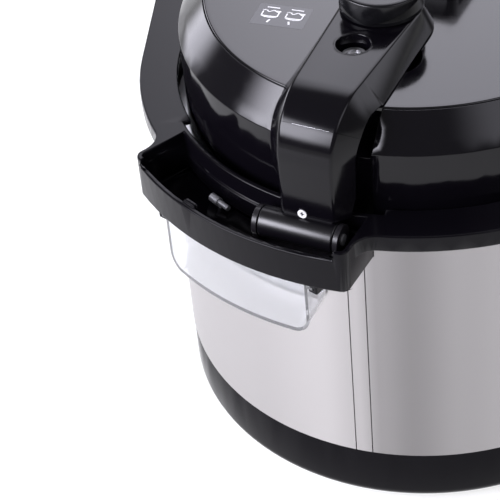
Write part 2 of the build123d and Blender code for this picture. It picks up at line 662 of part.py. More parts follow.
def lid_shell():
    """Bevel and skirt of the lid, cut back where the arm passes down."""
    t = 2.2
    shell = turned([(DISC_R + 0.5, DISC_Z - 0.4), (SKIRT_R, BEVEL_Z), (SKIRT_R, SKIRT_BOTTOM),
                    (SKIRT_R - t + 0.1, SKIRT_BOTTOM), (SKIRT_R - t + 0.1, BEVEL_Z - 0.6),
                    (DISC_R - 1.2, DISC_Z - 4.6), (DISC_R - 9, DISC_Z - 4.6),
                    (DISC_R - 9, DISC_Z - 2.5), (DISC_R + 0.5, DISC_Z - 2.5)])
    shell -= block(DISC_R - 5, 200, -SLOT_HALF, SLOT_HALF, BEVEL_Z - 3, 280)
    shell -= block(120, 200, -SLOT_HALF, SLOT_HALF, 180, BEVEL_Z - 2) - rod(SKIRT_R - 1.2, 0, 300)
    floor_z = BEVEL_Z - 4
    liner = block(DISC_R - 7, SKIRT_R - 1.6, -SLOT_HALF - 1.5, SLOT_HALF + 1.5, floor_z, floor_z + 1.5)
    liner += block(DISC_R - 7, DISC_R - 5, -SLOT_HALF - 1.5, SLOT_HALF + 1.5, floor_z, DISC_Z - 2.5)
    for side in (1, -1):
        cheek = block(DISC_R - 7, SKIRT_R, SLOT_HALF, SLOT_HALF + 1.5, floor_z, DISC_Z)
        cheek = (cheek & lid_cone(-0.6)) - rod(DISC_R + 0.4, DISC_Z - 2.5, 300)
        liner += cheek if side > 0 else mirror(cheek, Plane.XZ)
    return shell + (liner & lid_cone(-0.5))


def gasket():
    """Silicone ring with two lips, pressed on the pot's rim when the lid is shut."""
    return turned([(107.5, 210.5), (117.8, 210.5), (118.2, 207.0), (117.6, 203.4), (114.2, 203.4),
                   (115.0, 206.8), (111.5, 207.6), (110.6, 203.6), (108.6, 203.6)])


def gasket_plate():
    """Inner cover plate that carries the gasket, held by the nut in the middle."""
    plate = turned([(0, 212.0), (103.0, 212.0), (104.4, 204.4), (105.8, 204.4), (104.4, 213.2),
                    (0, 213.2)])
    for i in range(6):
        x, y, _ = polar(70, 60 * i)
        plate -= rod(4, 205, 220, x, y)
    plate -= rod(12.5, 200, 225, KNOB_AT) + rod(8.5, 200, 225, FLOAT_AT) + rod(3.6, 200, 225)
    return plate


def plate_nut():
    return rod(11, 204.5, 212.0) + rod(3.5, 211, 230.5) - rod(7.5, 203, 206.5)


def exhaust_pipe():
    """Vent pipe through the pressure lid, with a flange and a nut."""
    pipe = rod(5.1, 222, 262, KNOB_AT) + rod(9, 231.4, 234, KNOB_AT) + rod(8, 224, 228.8, KNOB_AT)
    return pipe - rod(1.6, 200, 300, KNOB_AT)


def vent_shield():
    """Perforated cap under the vent pipe that keeps food out of it."""
    cap = rod(11, 214.0, 224.0, KNOB_AT) - rod(9.8, 215.2, 225, KNOB_AT)
    for i in range(8):
        x, y, _ = polar(11, 45 * i)
        cap -= rod(1.6, 216.5, 222, KNOB_AT + x, y)
    cap += rod(12, 223, 224, KNOB_AT) - rod(8.1, 220, 226, KNOB_AT)
    return cap


def steam_knob():
    """Round knob with a pointer, turning on the vent pipe."""
    knob = rod(KNOB_R, KNOB_Z + 2.0, KNOB_TOP, KNOB_AT)
    knob = fillet([e for e in knob.edges() if e.center().Z > KNOB_TOP - 0.1], 1.6)
    skirt = rod(KNOB_R, KNOB_Z - 0.6, KNOB_Z + 2.0, KNOB_AT)
    notch = block(-30, 30, 0, 80, KNOB_Z - 3, KNOB_Z + 2.0)
    skirt -= Pos(KNOB_AT + 14, 6, 0) * Rot(0, 0, 10) * notch
    skirt -= Pos(KNOB_AT + 14, -6, 0) * Rot(0, 0, -10) * mirror(notch, Plane.XZ)
    knob += skirt
    knob += rod(8.3, KNOB_Z - 13, KNOB_Z + 3, KNOB_AT)
    return knob - rod(5.1 + FIT, 240, KNOB_Z - 8, KNOB_AT)


def float_valve():
    """Pin that rises with the pressure, with a ringed head seen through the arm."""
    pin = rod(2.6, 214.0, 262.5, FLOAT_AT) + rod(6.3, 262.5, 264.6, FLOAT_AT)
    pin += rod(5.4, 221.4, 223.6, FLOAT_AT)
    return pin - rod(4.2, 263.6, 265, FLOAT_AT)


def panel_height(r):
    """Height of the top panel's surface at distance r from the lid's axis."""
    return DISC_Z + DOME * (1 - (r / DISC_R) ** 2)


def lid_handle():
    """Bridge handle on the front half of the lid, its feet following the domed panel."""
    x0, x1 = HANDLE
    leg, under = 16, 284
    feet_z = [panel_height(x) + 0.03 for x in (x0, x0 + leg, x1 - leg, x1)]
    outline = [(x0, feet_z[0]), (x0, under), (x0 + 14, HANDLE_TOP), (x1 - 14, HANDLE_TOP),
               (x1, under), (x1, feet_z[3]), (x1 - leg, feet_z[2]), (x1 - leg, under),
               (x0 + leg, under), (x0 + leg, feet_z[1])]
    side = make_face(Polyline([(x, 0, z) for x, z in outline], close=True))
    grip = extrude(side, HANDLE_HALF, both=True, dir=(0, 1, 0))
    grip = fillet([e for e in grip.edges() if e.center().Z > under + 1
                   and abs(abs(e.center().Y) - HANDLE_HALF) < 0.1], 5)
    for x, y in HANDLE_SCREWS:
        grip -= rod(1.7, 240, 266, x, y)
    return grip


def handle_screws():
    return [Pos(x, y, DISC_Z - 2.6) * Rot(180, 0, 0) * screw(3.4, 1.8, 1.6, 10)
            for x, y in HANDLE_SCREWS]


# ---- the list of pieces ---------------------------------------------------------------
def build():
    add("base_shell", base_shell())
    add("bottom_cover", bottom_cover())
    add("feet", *feet())
    add("cover_screws", *cover_screws())
    add("steel_wrap", steel_wrap())
    add("lap_strip", lap_strip())
    add("seam_backing", seam_backing())
    add("top_ring", top_ring())
    add("stop_pin", stop_pin())
    add("heating_chamber", heating_chamber())
    add("inner_pot", inner_pot())
    add("heating_plate", heating_plate())
    cap, wire = sensor_parts()
    add("bottom_sensor", cap)
    add("sensor_spring", wire)
    add("sensor_bracket", sensor_bracket())
    add("thermal_fuse", thermal_fuse())
    add("pressure_switch", pressure_switch())
    add("heat_shield", heat_shield())
    add("power_board", *power_board())
    add("control_board", *control_board())
    add("control_fascia", control_fascia())
    add("display_lens", display_lens())
    for i, a in enumerate(button_angles()):
        add(f"button_{i + 1}", button(a))
    add("power_inlet", power_inlet())
    add("condensation_cup", condensation_cup())
    for name, maker in (("hinge_slide", hinge_slide), ("hinge_pin", hinge_pin),
                        ("arm_cover", arm_cover), ("hinge_arm", hinge_arm),
                        ("arm_screw", arm_screw), ("hinge_bracket", hinge_bracket),
                        ("pressure_lid", pressure_lid), ("lid_disc", lid_disc),
                        ("lid_shell", lid_shell), ("gasket", gasket),
                        ("gasket_plate", gasket_plate), ("plate_nut", plate_nut),
                        ("exhaust_pipe", exhaust_pipe), ("vent_shield", vent_shield),
                        ("steam_knob", steam_knob), ("float_valve", float_valve),
                        ("lid_handle", lid_handle)):
        add(name, on_arm(maker()))
    add("bracket_posts", *[on_arm(p) for p in bracket_posts()])
    add("handle_screws", *[on_arm(p) for p in handle_screws()])


os.makedirs("parts", exist_ok=True)
build()
for node, shape in PARTS.items():
    export_step(shape, f"parts/{node}.step")
print(len(PARTS), "pieces")
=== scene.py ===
# %% [markdown]
# # Electric pressure cooker
#
# This notebook gives an electric pressure cooker its looks. The measured model of the cooker
# is loaded first and stays as it is. Each step then takes one piece or one finish, says what
# it is on the real cooker, and gives it a smooth surface or a material around that model.

# %% Load the measured model
import json

import bmesh
import bpy
import numpy as np
from mathutils import Matrix, Vector


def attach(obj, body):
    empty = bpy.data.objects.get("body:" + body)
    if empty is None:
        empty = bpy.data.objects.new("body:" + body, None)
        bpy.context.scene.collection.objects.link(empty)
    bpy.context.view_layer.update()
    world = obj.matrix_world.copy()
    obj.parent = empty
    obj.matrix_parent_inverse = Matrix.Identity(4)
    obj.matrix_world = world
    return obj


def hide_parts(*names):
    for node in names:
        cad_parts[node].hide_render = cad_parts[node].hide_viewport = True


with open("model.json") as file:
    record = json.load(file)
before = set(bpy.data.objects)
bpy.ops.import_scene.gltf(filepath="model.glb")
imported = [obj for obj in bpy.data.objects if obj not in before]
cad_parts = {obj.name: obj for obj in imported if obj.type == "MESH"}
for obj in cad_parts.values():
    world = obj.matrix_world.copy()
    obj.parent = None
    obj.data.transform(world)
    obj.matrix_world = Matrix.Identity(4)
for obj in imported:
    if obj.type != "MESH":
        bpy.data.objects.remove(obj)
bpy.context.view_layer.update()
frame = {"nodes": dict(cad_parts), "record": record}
nodes = frame["nodes"]
slot_of = {part["node"]: part["material_slot"] for part in frame["record"]["subparts"]}

# %% [markdown]
# ## From an array of points to a piece
#
# Most of the cooker's mouldings are a profile carried round the axis or along a path. Such a
# surface is a grid: one number says where along the path, the other where on the profile. The
# points of the whole grid are worked out at once with numpy, in millimetres, and one helper
# turns the grid into a closed, smooth mesh. Edges that turn by more than a given angle stay
# crisp, and everything else is shaded smooth.

# %% Grid helper: which points make a face
MM = 0.001
MERGE = 2e-6              # metres: points closer than this become one
CRISP = 32.0              # degrees: an edge that turns by more than this stays crisp


def grid_faces(rows, columns, close_rows=True, close_columns=True):
    """Quads between neighbours: point (i, j) has number i * columns + j, wrapping where closed."""
    i = np.arange(rows if close_rows else rows - 1)
    j = np.arange(columns if close_columns else columns - 1)
    i, j = np.meshgrid(i, j, indexing="ij")
    i2, j2 = (i + 1) % rows, (j + 1) % columns
    quads = [i * columns + j, i2 * columns + j, i2 * columns + j2, i * columns + j2]
    return np.stack(quads, axis=-1).reshape(-1, 4)


print("a 3 x 4 closed grid has", len(grid_faces(3, 4)), "faces")

# %% Mesh helper: points and faces become a finished piece
def settle(mesh, crisp=CRISP, capped=True):
    """Merges equal points, caps open ends, points faces outwards, shades smooth below crisp."""
    shape = bmesh.new()
    shape.from_mesh(mesh)
    bmesh.ops.remove_doubles(shape, verts=shape.verts, dist=MERGE)
    bmesh.ops.dissolve_degenerate(shape, edges=shape.edges, dist=1e-7)
    if capped:
        bmesh.ops.holes_fill(shape, edges=shape.edges, sides=0)
    bmesh.ops.recalc_face_normals(shape, faces=shape.faces)
    shape.to_mesh(mesh)
    shape.free()
    mesh.shade_smooth()
    mesh.set_sharp_from_angle(angle=np.radians(crisp))


def make_mesh(name, points, faces, crisp=CRISP, capped=True):
    """A mesh object from points in millimetres, numbered row by row, and an array of quads.

    A capped mesh gets a face over each open end; a floor or a film stays open.
    """
    mesh = bpy.data.meshes.new(name)
    mesh.vertices.add(len(points))
    mesh.vertices.foreach_set("co", (points * MM).astype(np.float32).ravel())
    mesh.loops.add(faces.size)
    mesh.loops.foreach_set("vertex_index", faces.astype(np.int32).ravel())
    mesh.polygons.add(len(faces))
    mesh.polygons.foreach_set("loop_start", np.arange(0, faces.size, 4, dtype=np.int32))
    mesh.update(calc_edges=True)
    settle(mesh, crisp, capped)
    thing = bpy.data.objects.new(name, mesh)
    bpy.context.scene.collection.objects.link(thing)
    return thing


def wear(thing, slot, body, *replaced, look=None):
    """Gives a piece its slot and finish, the body it moves with and the nodes it stands for.

    look names another finish than the slot's own.
    """
    thing.data.materials.clear()
    thing.data.materials.append(finishes[look or slot])
    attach(thing, body)
    if replaced:
        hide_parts(*replaced)
    print(thing.name, len(thing.data.polygons), "faces, moves with", body)


finishes = {}

# %% [markdown]
# ## Finishes
#
# Moulded plastic, brushed steel and rubber differ in colour, in how sharp their reflections
# are, and in the tiny unevenness of the surface. One Principled shader per finish is enough.
# A fine noise pattern on Object coordinates varies the roughness and lifts the surface a
# little, so that no reflection is perfectly clean.

# %% A finish with a fine grain
GRAIN_HEIGHT = 0.0001      # metres that the bump stands proud


def finish(slot, colour, roughness, metallic=0.0, grain=0.0, grain_scale=900.0, spread=0.04,
           shine=0.5):
    """A Principled material whose roughness and bump follow a small noise pattern.

    Roughness runs from roughness - spread to roughness + spread. grain is the strength of the
    bump, grain_scale how many grains go into a metre, and shine the level of the gloss.
    """
    material = bpy.data.materials.new(slot)
    material.use_nodes = True
    tree = material.node_tree
    shader = tree.nodes["Principled BSDF"]
    shader.inputs["Base Color"].default_value = (*colour, 1.0)
    shader.inputs["Metallic"].default_value = metallic
    shader.inputs["Specular IOR Level"].default_value = shine
    place = tree.nodes.new("ShaderNodeTexCoord")
    noise = tree.nodes.new("ShaderNodeTexNoise")
    noise.inputs["Scale"].default_value = grain_scale
    noise.inputs["Detail"].default_value = 3.0
    tree.links.new(place.outputs["Object"], noise.inputs["Vector"])
    vary = tree.nodes.new("ShaderNodeMapRange")
    vary.inputs["To Min"].default_value = max(0.0, roughness - spread)
    vary.inputs["To Max"].default_value = roughness + spread
    tree.links.new(noise.outputs["Fac"], vary.inputs["Value"])
    tree.links.new(vary.outputs["Result"], shader.inputs["Roughness"])
    if grain:
        bump = tree.nodes.new("ShaderNodeBump")
        bump.inputs["Strength"].default_value = grain
        bump.inputs["Distance"].default_value = GRAIN_HEIGHT
        tree.links.new(noise.outputs["Fac"], bump.inputs["Height"])
        tree.links.new(bump.outputs["Normal"], shader.inputs["Normal"])
    finishes[slot] = material
    return material


# %% Plastics, rubber and small metal parts
BLACK = (0.0025, 0.0021, 0.0034)
finish("base_plastic", BLACK, 0.14, grain=0.02, grain_scale=300, shine=0.1)
finish("cover_plastic", (0.045, 0.045, 0.047), 0.5, grain=0.3)
finish("foot_rubber", (0.035, 0.035, 0.035), 0.75, grain=0.3)
finish("screw_steel", (0.93, 0.93, 0.94), 0.4, metallic=0.25)
finish("seam_plastic", (0.05, 0.05, 0.05), 0.5)
finish("ring_plastic", BLACK, 0.17, grain=0.03, grain_scale=350, shine=0.14)
finish("pin_steel", (0.42, 0.42, 0.44), 0.3, metallic=0.6)
finish("pressed_steel", (0.62, 0.62, 0.63), 0.3, metallic=1.0, grain=0.04)
finish("pot_aluminium", (0.60, 0.60, 0.62), 0.38, metallic=1.0, grain=0.06)
finish("spring_steel", (0.6, 0.6, 0.6), 0.35, metallic=1.0)
finish("switch_plastic", (0.70, 0.66, 0.58), 0.5)
finish("board", (0.02, 0.13, 0.05), 0.45, grain=0.1, grain_scale=2500)
finish("fascia_plastic", (0.008, 0.008, 0.009), 0.14)
finish("button_plastic", (0.22, 0.22, 0.23), 0.35, grain=0.05)
finish("inlet_plastic", (0.02, 0.02, 0.02), 0.4, grain=0.1)
finish("slide_plastic", (0.012, 0.011, 0.013), 0.3, grain=0.05, shine=0.4)
finish("arm_plastic", BLACK, 0.13, grain=0.02, grain_scale=300, shine=0.24)
finish("barrel_plastic", BLACK, 0.3, grain=0.03, grain_scale=400, shine=0.55)
finish("lid_plastic", BLACK, 0.1, grain=0.01, grain_scale=250, shine=0.5)
finish("skirt_plastic", BLACK, 0.1, grain=0.01, grain_scale=250, shine=0.3)
finish("handle_plastic", (0.008, 0.008, 0.009), 0.22, grain=0.03, shine=0.4)
finish("gasket_silicone", (0.75, 0.75, 0.72), 0.55, grain=0.05)
finish("valve_metal", (0.55, 0.55, 0.56), 0.38, metallic=1.0)
finish("knob_plastic", (0.005, 0.005, 0.006), 0.2, grain=0.06, grain_scale=1500, shine=0.3)
print(len(finishes), "finishes so far")

# %% [markdown]
# ## Brushed steel
#
# The wrap is a steel sheet brushed round the body, so its fine scratches run level. They
# stretch every reflection upwards into soft upright bands. The shader's anisotropy does this
# when its tangent runs round the Z axis, and a noise pattern squeezed along Z draws the
# scratches themselves. A colour ramp over the angle round the axis also paints the steel
# lighter and darker in a few broad bands: painted reflection and shade.

# %% Brushed steel
def math_node(tree, operation, *values):
    """A Math node; each value is a socket to link or a number to set."""
    node = tree.nodes.new("ShaderNodeMath")
    node.operation = operation
    for socket, value in zip(node.inputs, values):
        if isinstance(value, bpy.types.NodeSocket):
            tree.links.new(value, socket)
        else:
            socket.default_value = value
    return node.outputs["Value"]


# Painted reflection and shade: at each angle round Z, in degrees, the steel's colour is multiplied
# by its tone
PAINTED_SHADE_BANDS = [(-180, 0.75), (-130, 1.0), (-80, 0.7), (-30, 1.0), (30, 0.8), (86, 0.88),
               (104, 1.0), (112, 0.84), (117, 0.54), (124, 0.44), (135, 0.58), (160, 0.8),
               (180, 0.75)]


def brushed(slot, colour, roughness, lines=2600.0, bands=PAINTED_SHADE_BANDS):
    """Metal with level scratches: noise squeezed along Z by lines drives roughness and bump.

    The colour is painted lighter and darker in soft upright bands, as painted reflection and
    shade. Each band is an angle round the Z axis, in degrees, and the number that the colour is
    multiplied by there.
    """
    material = finish(slot, colour, roughness, metallic=1.0)
    tree = material.node_tree
    shader = tree.nodes["Principled BSDF"]
    noise = next(n for n in tree.nodes if n.type == "TEX_NOISE")
    place = next(n for n in tree.nodes if n.type == "TEX_COORD")
    squeeze = tree.nodes.new("ShaderNodeMapping")
    squeeze.inputs["Scale"].default_value = (12.0, 12.0, lines)
    noise.inputs["Scale"].default_value = 1.0
    tree.links.new(place.outputs["Object"], squeeze.inputs["Vector"])
    tree.links.new(squeeze.outputs["Vector"], noise.inputs["Vector"])
    bump = tree.nodes.new("ShaderNodeBump")
    bump.inputs["Strength"].default_value = 0.12
    bump.inputs["Distance"].default_value = GRAIN_HEIGHT
    tree.links.new(noise.outputs["Fac"], bump.inputs["Height"])
    tree.links.new(bump.outputs["Normal"], shader.inputs["Normal"])
    shader.inputs["Anisotropic"].default_value = 0.65
    around = tree.nodes.new("ShaderNodeTangent")
    around.direction_type = "RADIAL"
    around.axis = "Z"
    tree.links.new(around.outputs["Tangent"], shader.inputs["Tangent"])
    apart = tree.nodes.new("ShaderNodeSeparateXYZ")
    tree.links.new(place.outputs["Object"], apart.inputs["Vector"])
    angle = math_node(tree, "ARCTAN2", apart.outputs["Y"], apart.outputs["X"])
    turn = math_node(tree, "MULTIPLY_ADD", angle, 1 / (2 * np.pi), 0.5)
    # Painted reflection and shade: the ramp makes the colour lighter and darker round the axis
    ramp = tree.nodes.new("ShaderNodeValToRGB")
    ramp.color_ramp.interpolation = "EASE"
    while len(ramp.color_ramp.elements) < len(bands):
        ramp.color_ramp.elements.new(1.0)
    for stop, (degrees, tone) in zip(ramp.color_ramp.elements, bands):
        stop.position = degrees / 360 + 0.5
        stop.color = (*(np.array(colour) * tone), 1.0)
    tree.links.new(turn, ramp.inputs["Fac"])
    tree.links.new(ramp.outputs["Color"], shader.inputs["Base Color"])
    return material


brushed("wrap_steel", (0.60, 0.578, 0.585), 0.34)
print("brushed steel is ready")

# %% [markdown]
# ## Clear plastic
#
# The drip cup is clear moulded plastic and the display window is tinted. Real light passes
# straight through a wall this thin, so the shader transmits most light, reflects at its
# surface, and keeps a little colour of its own. Lowering alpha instead would also weaken the
# reflections, which are what shows clear plastic at all.

# %% Clear cup and tinted window
def clear(slot, colour, roughness, transmission):
    """A transmitting finish with the refraction of acrylic."""
    material = finish(slot, colour, roughness, spread=0.0)
    shader = material.node_tree.nodes["Principled BSDF"]
    shader.inputs["Transmission Weight"].default_value = transmission
    shader.inputs["IOR"].default_value = 1.46
    return material


clear("clear_cup", (0.95, 0.96, 0.97), 0.04, 0.92)
clear("lens", (0.10, 0.12, 0.14), 0.05, 0.35)
print(len(finishes), "finishes in all")

# %% Every loaded piece takes the finish of its slot
for name, node in nodes.items():
    node.data.materials.clear()
    node.data.materials.append(finishes[slot_of[name]])
print("finishes set on", len(nodes), "pieces")

# %% [markdown]
# ## Rounded mouldings
#
# Plastic comes out of its mould with small roundings, and those edges catch the light. The
# measured model's cylinders and flats are already right, so a copy of it only needs its
# triangles joined and a Bevel modifier on the sharp edges.

# %% A copy with rounded edges
def rounded_copy(node, width, body, segments=2, crisp=30.0):
    """Copies a piece, joins its triangles, and rounds the edges past the crisp angle."""
    mesh = nodes[node].data.copy()
    shape = bmesh.new()
    shape.from_mesh(mesh)
    bmesh.ops.remove_doubles(shape, verts=shape.verts, dist=MERGE)
    shape.to_mesh(mesh)
    shape.free()
    mesh.shade_smooth()
    mesh.set_sharp_from_angle(angle=np.radians(crisp))
    thing = bpy.data.objects.new(node + "_moulded", mesh)
    bpy.context.scene.collection.objects.link(thing)
    bevel = thing.modifiers.new("rounding", "BEVEL")
    bevel.width = width * MM
    bevel.segments = segments
    bevel.limit_method = "ANGLE"
    bevel.angle_limit = np.radians(crisp)
    bevel.use_clamp_overlap = False
    bevel.harden_normals = True
    wear(thing, slot_of[node], body, node, look=OTHER_LOOK.get(node))
    return thing


OTHER_LOOK = {"lid_shell": "skirt_plastic"}
ROUNDING = {"top_ring": 0.9, "base_shell": 0.4, "lid_handle": 1.0, "lid_shell": 0.5,
            "hinge_slide": 0.3, "power_inlet": 0.4}
bodies = frame["record"]["behaviour"]["bodies"]
body_of = {name: body for body, names in bodies.items() for name in names}
for rounded_node, width in ROUNDING.items():
    rounded_copy(rounded_node, width, body_of[rounded_node])

# %% [markdown]
# ## Outlines with rounded corners
#
# Nearly every moulded edge here is a straight outline whose corners are rounded. Drawing the
# arcs by hand would fix their size for ever, so a helper takes the corners and one radius for
# each, and can do this for many outlines at the same time.

# %% Corners to arcs
def rounded(corners, radii, steps=6, closed=False):
    """Replaces each corner by an arc of the given radius.

    The arc leaves the incoming side a tangent length before the corner, radius times the
    tangent of half the turning angle, and its points turn about its centre by equal steps.
    corners is (..., n, 2); the result is (..., n * steps, 2).
    """
    corners = np.asarray(corners, float)
    radii = np.broadcast_to(np.asarray(radii, float), corners.shape[:-1]).copy()
    before, after = np.roll(corners, 1, axis=-2), np.roll(corners, -1, axis=-2)
    if not closed:
        radii[..., 0] = radii[..., -1] = 0.0
    come, leave = corners - before, after - corners
    come_length = np.linalg.norm(come, axis=-1)
    leave_length = np.linalg.norm(leave, axis=-1)
    come = come / np.maximum(come_length, 1e-9)[..., None]
    leave = leave / np.maximum(leave_length, 1e-9)[..., None]
    cross = come[..., 0] * leave[..., 1] - come[..., 1] * leave[..., 0]
    turn = np.arctan2(cross, np.sum(come * leave, axis=-1))
    half_tan = np.tan(np.abs(turn) / 2)
    room = 0.48 * np.minimum(come_length, leave_length)
    reach = np.minimum(radii * half_tan, room)
    radius = np.where(half_tan > 1e-6, reach / np.maximum(half_tan, 1e-6), 0.0)
    normal = np.stack([-come[..., 1], come[..., 0]], axis=-1) * np.sign(turn)[..., None]
    start = corners - come * reach[..., None]
    centre = start + normal * radius[..., None]
    angle = turn[..., None] * np.linspace(0, 1, steps)
    arm = (start - centre)[..., None, :]
    x = arm[..., 0] * np.cos(angle) - arm[..., 1] * np.sin(angle)
    y = arm[..., 0] * np.sin(angle) + arm[..., 1] * np.cos(angle)
    points = centre[..., None, :] + np.stack([x, y], axis=-1)
    return points.reshape(*corners.shape[:-2], -1, 2)


unit_square = [[0, 0], [1, 0], [1, 1], [0, 1]]
print("a rounded square has", len(rounded(unit_square, 0.2, closed=True)), "points")

# %% [markdown]
# ## Turned pieces, holes and cuts
#
# A round piece is an outline carried once round an axis, the way a lathe or a revolving mould
# makes it. A hole through a curved panel would be hard to put into such a grid, so it is cut
# afterwards with a Boolean: a cylinder is taken away, and the result is shaded again.

# %% Turned pieces
def turned(name, outline, turns=160, centre=(0.0, 0.0)):
    """Carries a closed (radius, height) outline once round an upright axis through centre."""
    angle = np.linspace(0, 2 * np.pi, turns, endpoint=False)[:, None]
    x = centre[0] + outline[None, :, 0] * np.cos(angle)
    y = centre[1] + outline[None, :, 0] * np.sin(angle)
    z = np.broadcast_to(outline[None, :, 1], x.shape)
    points = np.stack([x, y, z], axis=-1).reshape(-1, 3)
    return make_mesh(name, points, grid_faces(turns, len(outline)))


# %% Holes and cuts
def cut(thing, *cutters):
    """Takes other closed pieces away from a piece with a Boolean, then removes them."""
    for cutter in cutters:
        step = thing.modifiers.new("cut", "BOOLEAN")
        step.object = cutter
        step.operation = "DIFFERENCE"
        step.solver = "EXACT"
    ready = thing.evaluated_get(bpy.context.evaluated_depsgraph_get())
    mesh = bpy.data.meshes.new_from_object(ready)
    thing.modifiers.clear()
    thing.data = mesh
    for cutter in cutters:
        bpy.data.objects.remove(cutter)
    mesh.shade_smooth()
    mesh.set_sharp_from_angle(angle=np.radians(CRISP))


def plug(radius, low, high, centre):
    """A cylinder to cut with."""
    outline = np.array([[0, low], [radius, low], [radius, high], [0, high]], float)
    return turned("plug", outline, 96, centre)


# %% A plain box
def bar(name, corner_a, corner_b, move):
    """A box between two corners, its points moved by move."""
    low, high = np.array(corner_a, float), np.array(corner_b, float)
    pick = np.array([[0, 0, 0], [1, 0, 0], [1, 1, 0], [0, 1, 0],
                     [0, 0, 1], [1, 0, 1], [1, 1, 1], [0, 1, 1]])
    points = low + (high - low) * pick
    faces = np.array([[0, 3, 2, 1], [4, 5, 6, 7], [0, 1, 5, 4],
                      [1, 2, 6, 5], [2, 3, 7, 6], [3, 0, 4, 7]])
    return make_mesh(name, move(points), faces)


# %% [markdown]
# ## The arm
#
# The lid hangs on a broad arm. It starts as a round end under the steam knob, runs outwards
# over the lid, bends down over the edge in a wide curve, and ends on the hinge barrel. Its
# flanks lean outwards. On the real cooker it is two hollow mouldings that meet on the bend, so
# here too there are two pieces with a fine gap between them.
#
# Each moulding is one profile carried along a path: the profile says how far to the side and
# how deep below the outer face, and every row of the grid has its own place, side direction
# and inward direction. Round the knob the side direction simply swings through half a turn,
# so the round end and both flanks are one surface.

# %% The arm's measures, in its own frame: along, across, up
ARM_ANGLE = np.radians(104.7)
KNOB_AT, FLOAT_AT = 48.3, 85.0
ARM_TOP, BEND_AT, BEND_Z, BEND_R = 271.0, 118.8, 241.0, 30.0
FACE = BEND_AT + BEND_R
ARM_WALL = 2.4
PART_LINE = 0.55          # how far round the bend the two mouldings meet
PART_GAP = 0.16
PANEL_GAP = 0.35          # between the arm's edge and the top panel
FACE_HALF, FACE_TAPER = 20.0, 6.0     # half width of the outer face at the knob, and its loss
FLANK_HALF = 26.4         # half width at the flank's lower edge, round the knob
UPRIGHT_END = 210.2


def on_arm(points):
    """Turns points from the arm's own frame to where the arm stands."""
    c, s = np.cos(ARM_ANGLE), np.sin(ARM_ANGLE)
    x, y = points[..., 0], points[..., 1]
    return np.stack([x * c - y * s, x * s + y * c, points[..., 2]], axis=-1)


DISC_R, DISC_Z, DOME = 113.4, 256.5, 1.6    # the lid's top panel: radius, edge, rise


def panel_height(r):
    """The top panel is a shallow dome: DOME above its edge in the middle, less with r squared."""
    return DISC_Z + DOME * (1 - (r / DISC_R) ** 2)


print("the arm's outer face stands", FACE, "mm from the axis")

# %% Where each row of the arm stands
FLAT = BEND_AT - KNOB_AT
CURVE = BEND_R * np.pi / 2


def arm_rows(t, side):
    """Row places at distance t along the face from the knob, for side +1 or -1.

    Straight, then a quarter circle, then straight down. The flank's reach to the side and
    its depth are read between a few measures along the way, with a reach for each side.
    """
    bend = np.clip((t - FLAT) / CURVE, 0, 1) * np.pi / 2
    flat = np.minimum(t, FLAT)
    down = np.maximum(t - FLAT - CURVE, 0)
    place = np.stack([KNOB_AT + flat + BEND_R * np.sin(bend), 0 * t,
                      BEND_Z + BEND_R * np.cos(bend) - down], -1)
    inward = np.stack([-np.sin(bend), 0 * t, -np.cos(bend)], -1)
    across = np.zeros_like(place)
    across[:, 1] = side
    narrow = FACE_HALF - FACE_TAPER * (place[:, 0] - KNOB_AT) / (FACE - KNOB_AT)
    at = [0, 62, 72, 95, 117, 126, 132, 137, 160]
    reach = [FLANK_HALF, 26.0, 24.2, 23.6, 22.0, 21.8, 21.6, 21.3, 21.0]
    reach_left = [FLANK_HALF, 26.0, 24.2, 24.0, 23.7, 23.5, 21.8, 19.0, 17.6]
    wide = np.interp(t, at, reach if side > 0 else reach_left)
    over_panel = ARM_TOP - panel_height(place[:, 0]) - PANEL_GAP
    later = np.interp(t, [62, 70, 140, 146, 160], [13.2, 13.0, 13.0, 8.5, 8.3])
    deep = np.where(t < 62, over_panel, later)
    return place, across, inward, narrow, wide, deep


def arm_surface(place, across, inward, narrow, wide, deep, edge=2.6):
    """Half profiles from the outer face's middle, over the flank, and back along the inside."""
    zero = np.zeros_like(narrow)
    lean = (wide - narrow) / deep
    corners = np.stack([
        np.stack([zero, zero], -1), np.stack([narrow, zero + 0.25], -1),
        np.stack([wide, deep], -1), np.stack([wide - 2.2, deep], -1),
        np.stack([narrow - ARM_WALL + lean * ARM_WALL, zero + ARM_WALL], -1),
        np.stack([zero, zero + ARM_WALL], -1)], axis=1)
    outline = rounded(corners, [0, edge, 0.5, 0.4, 1.2, 0], steps=7)
    sideways = outline[..., :1] * across[:, None]
    return place[:, None] + sideways + outline[..., 1:] * inward[:, None]


# %% Upper moulding with the round end
cover_end = FLAT + PART_LINE * CURVE - PART_GAP / 2
t_cover = np.concatenate([np.linspace(0, 58, 24)[1:], np.linspace(58, cover_end, 40)[1:]])
right_rows = arm_surface(*arm_rows(t_cover[::-1], 1.0))
left_rows = arm_surface(*arm_rows(t_cover, -1.0))
swing = np.linspace(np.pi / 2, 3 * np.pi / 2, 49)
ones = np.ones_like(swing)
hub_place = np.stack([KNOB_AT * ones, 0 * ones, ARM_TOP * ones], -1)
hub_side = np.stack([np.cos(swing), np.sin(swing), 0 * ones], -1)
hub_inward = np.stack([0 * ones, 0 * ones, -ones], -1)
hub_deep = ARM_TOP - panel_height(KNOB_AT) - PANEL_GAP
hub_rows = arm_surface(hub_place, hub_side, hub_inward, FACE_HALF * ones, FLANK_HALF * ones,
                       hub_deep * ones)
cover_grid = np.concatenate([right_rows, hub_rows, left_rows])
rows, columns = cover_grid.shape[:2]
arm_top = make_mesh("arm_upper_moulding", on_arm(cover_grid).reshape(-1, 3),
                    grid_faces(rows, columns, False, False), crisp=40)


def arm_point(along, across=0.0):
    """The (x, y) of a place given along and across the arm."""
    return tuple(on_arm(np.array([along, across, 0.0]))[:2])


